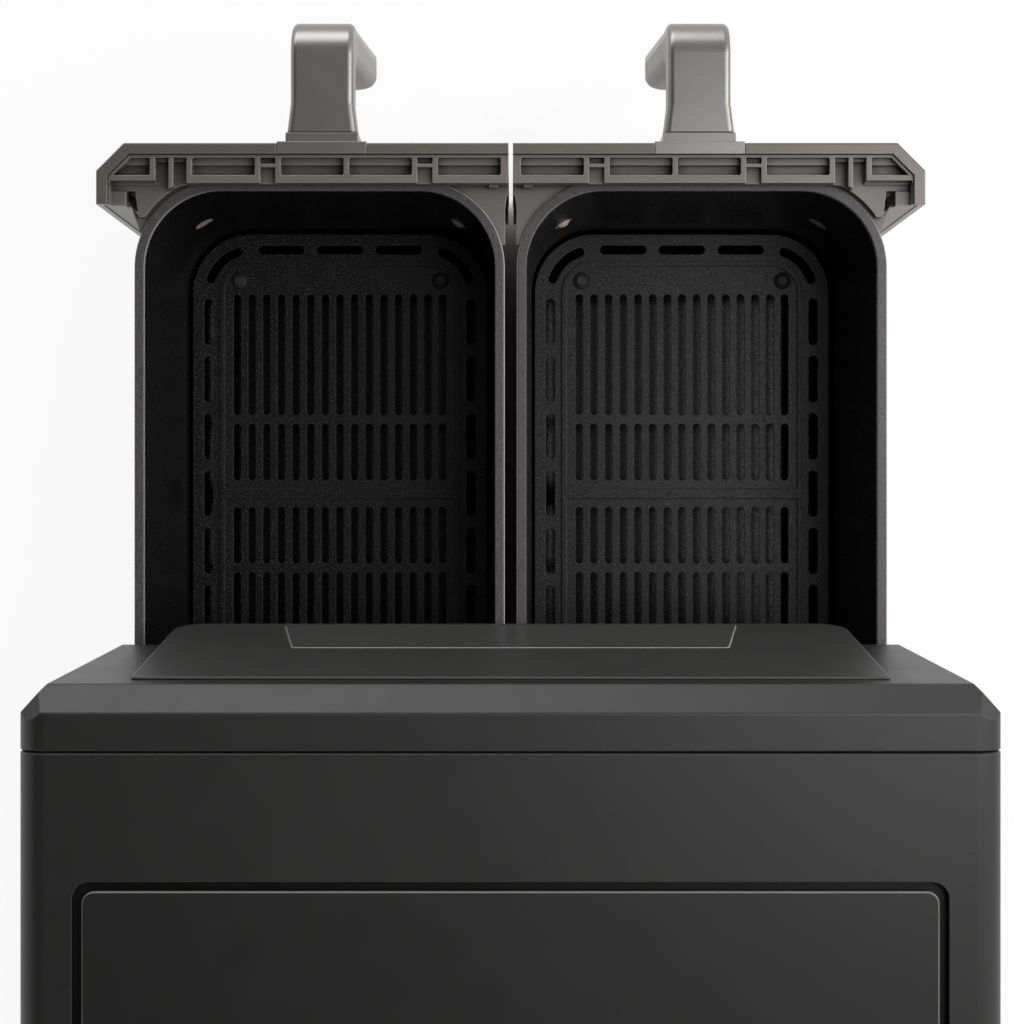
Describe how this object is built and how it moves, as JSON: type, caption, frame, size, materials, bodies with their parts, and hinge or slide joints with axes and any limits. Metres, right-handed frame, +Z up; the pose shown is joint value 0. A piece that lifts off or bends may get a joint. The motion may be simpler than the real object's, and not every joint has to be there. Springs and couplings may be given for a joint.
{
  "type": "air fryer",
  "caption": "Countertop air fryer with twin side-by-side drawers pulled out, each with a handle, a coated basket and a slotted crisper plate, under a hooded front with a control panel.",
  "frame": {"origin": "centre of the base of the bounding box at rest, on the counter, with both drawers pulled out", "axes": "+X to the right of a user who faces the front, +Y to the rear, +Z up; the drawers pull out along -Y"},
  "size_m": [0.396, 0.63, 0.305],
  "materials": {
    "board": "laminate",
    "ceramic": "ceramic",
    "coated_metal": "non-stick coated",
    "fan_metal": "plain",
    "fan_plastic": "moulded",
    "front_plastic": "satin grey",
    "handle_plastic": "satin",
    "heater_metal": "dull",
    "inner_plastic": "moulded",
    "motor_metal": "plain",
    "moulding_plastic": "moulded",
    "panel_plastic": "fine satin",
    "screw_metal": "plain",
    "sheet_metal": "plain sheet",
    "shell_plastic": "satin moulded",
    "soft": "matt",
    "window": "gloss"
  },
  "bodies": {
    "housing": {"base_screws": "screw_metal", "base_tray": "inner_plastic", "board_tray": "inner_plastic", "control_board": "board", "control_panel": "panel_plastic", "cord_gland": "inner_plastic", "display_module": "inner_plastic", "display_window": "window", "drawer_switches": "inner_plastic", "front_frame": "inner_plastic", "front_hood": "shell_plastic", "heater_bushes": "ceramic", "heater_straps": "sheet_metal", "left_chamber": "sheet_metal", "left_heater": "heater_metal", "left_heater_guard": "sheet_metal", "left_heater_pan": "sheet_metal", "left_motor": "motor_metal", "left_runners": "inner_plastic", "motor_bridges": "sheet_metal", "outer_shell": "shell_plastic", "power_board": "board", "rear_vents": "inner_plastic", "right_chamber": "sheet_metal", "right_heater": "heater_metal", "right_heater_guard": "sheet_metal", "right_heater_pan": "sheet_metal", "right_motor": "motor_metal", "right_runners": "inner_plastic", "rubber_feet": "soft", "temperature_sensors": "screw_metal", "top_inset_panel": "panel_plastic"},
    "left_fan": {"left_fan_shaft": "screw_metal", "left_hot_fan": "fan_metal", "left_cooling_fan": "fan_plastic"},
    "left_drawer": {"left_fascia": "front_plastic", "left_drawer_frame": "moulding_plastic", "left_handle_base": "handle_plastic", "left_handle_core": "handle_plastic", "left_handle_cover": "handle_plastic", "left_handle_screws": "screw_metal", "left_basket": "coated_metal"},
    "left_plate": {"left_crisper_plate": "coated_metal", "left_plate_feet": "soft"},
    "left_plunger": {"left_plunger": "inner_plastic"},
    "right_fan": {"right_fan_shaft": "screw_metal", "right_hot_fan": "fan_metal", "right_cooling_fan": "fan_plastic"},
    "right_drawer": {"right_fascia": "front_plastic", "right_drawer_frame": "moulding_plastic", "right_handle_base": "handle_plastic", "right_handle_core": "handle_plastic", "right_handle_cover": "handle_plastic", "right_handle_screws": "screw_metal", "right_basket": "coated_metal"},
    "right_plate": {"right_crisper_plate": "coated_metal", "right_plate_feet": "soft"},
    "right_plunger": {"right_plunger": "inner_plastic"}
  },
  "joints": [
    {"name": "left_drawer_slide", "type": "slide", "parent": "housing", "child": "left_drawer", "axis": [0, -1, 0], "range_m": [-0.2342, 0.05]},
    {"name": "left_plate_lift", "type": "slide", "parent": "left_drawer", "child": "left_plate", "axis": [0, 0, 1], "range_m": [0, 0.1]},
    {"name": "left_fan_spin", "type": "hinge", "parent": "housing", "child": "left_fan", "pos_m": [-0.0904, 0.15914, 0.219], "axis": [0, 0, 1], "continuous": true},
    {"name": "left_plunger_press", "type": "slide", "parent": "housing", "child": "left_plunger", "axis": [0, 1, 0], "range_m": [0, 0.0012], "stiffness_N_per_m": 150},
    {"name": "right_drawer_slide", "type": "slide", "parent": "housing", "child": "right_drawer", "axis": [0, -1, 0], "range_m": [-0.2342, 0.05]},
    {"name": "right_plate_lift", "type": "slide", "parent": "right_drawer", "child": "right_plate", "axis": [0, 0, 1], "range_m": [0, 0.1]},
    {"name": "right_fan_spin", "type": "hinge", "parent": "housing", "child": "right_fan", "pos_m": [0.0904, 0.15914, 0.219], "axis": [0, 0, 1], "continuous": true},
    {"name": "right_plunger_press", "type": "slide", "parent": "housing", "child": "right_plunger", "axis": [0, 1, 0], "range_m": [0, 0.0012], "stiffness_N_per_m": 150}
  ]
}
